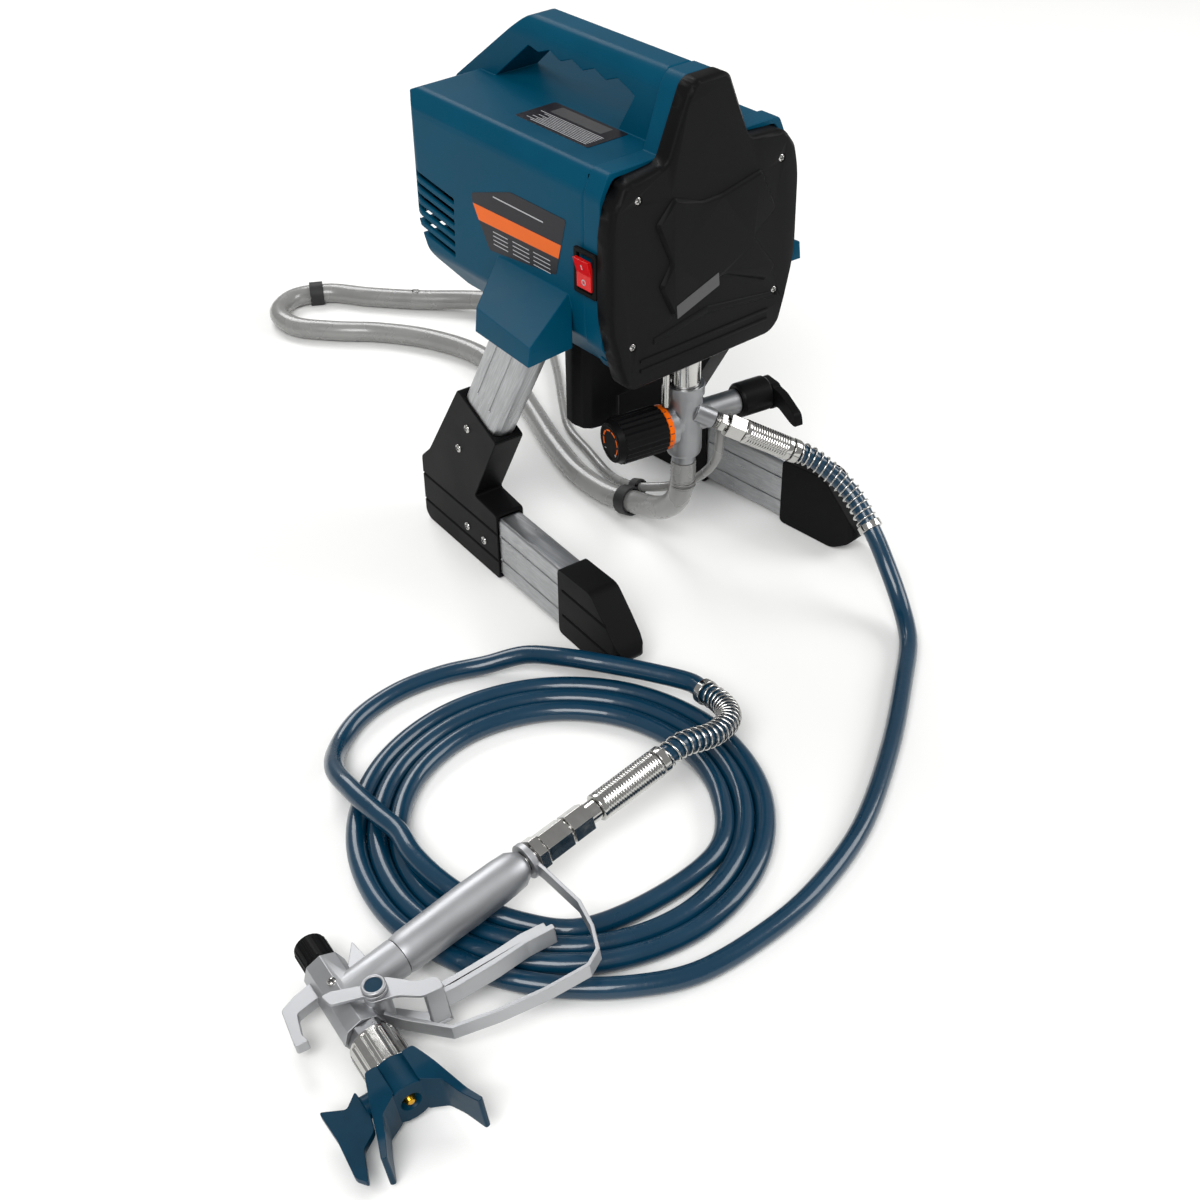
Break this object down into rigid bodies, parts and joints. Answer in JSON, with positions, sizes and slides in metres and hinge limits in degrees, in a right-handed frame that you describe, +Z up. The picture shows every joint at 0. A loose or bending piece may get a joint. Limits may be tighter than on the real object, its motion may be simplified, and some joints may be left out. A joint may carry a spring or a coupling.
{
  "type": "airless paint sprayer",
  "caption": "Airless paint sprayer on a skid stand: electric piston pump in a handled housing, suction and return hoses, coiled high-pressure hose and a trigger spray gun.",
  "frame": {"origin": "on the floor under the middle of the machine, without the hoses and the gun", "axes": "+Z up, the front cover faces -Y, +X to the right of somebody who looks at the cover from the front"},
  "size_m": [0.7378, 0.9754, 0.42],
  "materials": {
    "teal_plastic": "satin moulded teal-blue plastic",
    "black_plastic": "fine-textured black plastic",
    "orange_plastic": "satin orange plastic",
    "red_plastic": "glossy translucent red",
    "navy_plastic": "satin navy-teal plastic",
    "extruded_aluminium": "satin extruded",
    "cast_aluminium": "bead-blasted casting",
    "plated_steel": "bright plating",
    "dark_steel": "dark satin steel",
    "hose_jacket": "glossy hose jacket",
    "clear_vinyl": "cloudy clear vinyl"
  },
  "bodies": {
    "machine": {"rear_housing": "teal_plastic", "front_ring": "teal_plastic", "front_cover": "black_plastic", "rocker_bezel": "black_plastic", "motor_can": "dark_steel", "gearbox_casing": "cast_aluminium", "pump_cylinder": "plated_steel", "pump_collar": "cast_aluminium", "manifold_block": "cast_aluminium", "tie_rod": "plated_steel", "control_box": "black_plastic", "knob_scale_ring": "orange_plastic", "prime_valve_body": "cast_aluminium", "outlet_nipple": "plated_steel", "outlet_hose_nut": "plated_steel", "outlet_ferrule": "plated_steel", "outlet_spring": "plated_steel", "suction_hose": "clear_vinyl", "return_hose": "clear_vinyl", "inlet_strainer": "cast_aluminium", "hose_clip": "black_plastic", "hose_strap": "black_plastic", "paint_hose_lead": "hose_jacket", "paint_hose_coil": "hose_jacket", "paint_hose_loop": "hose_jacket", "gun_ferrule": "plated_steel", "gun_spring": "plated_steel", "gun_inlet_fitting": "plated_steel", "gun_body": "cast_aluminium", "gun_grip": "cast_aluminium", "gun_rear_cap": "black_plastic", "trigger_guard": "cast_aluminium", "trigger_pivot": "teal_plastic", "gun_neck_nut": "dark_steel", "left_leg_tube": "extruded_aluminium", "left_foot_tube": "extruded_aluminium", "left_elbow": "black_plastic", "left_foot_cap": "black_plastic", "right_leg_tube": "extruded_aluminium", "right_foot_tube": "extruded_aluminium", "right_elbow": "black_plastic", "right_foot_cap": "black_plastic"},
    "rotor": {"motor_shaft": "plated_steel", "cooling_fan": "black_plastic", "pinion_gear": "dark_steel"},
    "reduction_gear": {"drive_gear": "cast_aluminium"},
    "piston": {"yoke": "dark_steel", "piston_rod": "plated_steel"},
    "pressure_knob": {"pressure_knob": "black_plastic"},
    "prime_valve": {"prime_valve_collar": "black_plastic", "prime_valve_lever": "black_plastic"},
    "rocker": {"rocker_switch": "red_plastic"},
    "trigger": {"gun_trigger": "cast_aluminium"},
    "trigger_lock": {"trigger_lock": "plated_steel"},
    "tip_guard": {"tip_guard": "navy_plastic"},
    "tip_key": {"tip_key": "navy_plastic"},
    "swivel_nut": {"gun_swivel_nut": "plated_steel"},
    "retaining_ring": {"retaining_ring": "plated_steel"}
  },
  "joints": [
    {"name": "gear_spin", "type": "hinge", "parent": "machine", "child": "reduction_gear", "pos_m": [0, -0.0595, 0.3122], "axis": [0, 1, 0], "continuous": true},
    {"name": "rotor_spin", "type": "hinge", "parent": "machine", "child": "rotor", "pos_m": [0, -0.0595, 0.268], "axis": [0, 1, 0], "continuous": true},
    {"name": "piston_slide", "type": "slide", "parent": "machine", "child": "piston", "axis": [0, 0, 1], "range_m": [-0.009, 0.009]},
    {"name": "knob_turn", "type": "hinge", "parent": "machine", "child": "pressure_knob", "pos_m": [0, -0.0845, 0.14], "axis": [0.9848, -0.1736, 0], "range_deg": [0, 270]},
    {"name": "valve_turn", "type": "hinge", "parent": "machine", "child": "prime_valve", "pos_m": [0, -0.0845, 0.143], "axis": [0.9848, -0.1736, 0], "range_deg": [0, 90]},
    {"name": "rocker_flip", "type": "hinge", "parent": "machine", "child": "rocker", "pos_m": [-0.0906, -0.078, 0.2925], "axis": [0, 1, 0], "range_deg": [0, 14]},
    {"name": "trigger_pull", "type": "hinge", "parent": "machine", "child": "trigger", "pos_m": [-0.4626, -0.32923, 0.02246], "axis": [-0.1293, 0.0177, 0.9914], "range_deg": [0, 12], "stiffness_Nm_per_rad": 3, "springref_deg": -2.86},
    {"name": "lock_turn", "type": "hinge", "parent": "machine", "child": "trigger_lock", "pos_m": [-0.4626, -0.32923, 0.02246], "axis": [-0.1293, 0.0177, 0.9914], "range_deg": [0, 60]},
    {"name": "guard_turn", "type": "hinge", "parent": "machine", "child": "tip_guard", "pos_m": [-0.476, -0.3175, 0.0205], "axis": [-0.1357, -0.9907, 0], "range_deg": [-90, 90]},
    {"name": "tip_turn", "type": "hinge", "parent": "tip_guard", "child": "tip_key", "pos_m": [-0.48509, -0.38388, 0.0205], "axis": [0.9823, -0.1346, 0.1305], "range_deg": [0, 180]},
    {"name": "swivel_turn", "type": "hinge", "parent": "machine", "child": "swivel_nut", "pos_m": [-0.2883, -0.3018, 0.0447], "axis": [0.9912, 0.0308, 0.1287], "continuous": true},
    {"name": "ring_turn", "type": "hinge", "parent": "machine", "child": "retaining_ring", "pos_m": [-0.476, -0.3175, 0.0205], "axis": [-0.1357, -0.9907, 0], "continuous": true}
  ],
  "couplings": [
    {"joint": "rotor_spin", "follows": "gear_spin", "ratio": -3.3333}
  ]
}
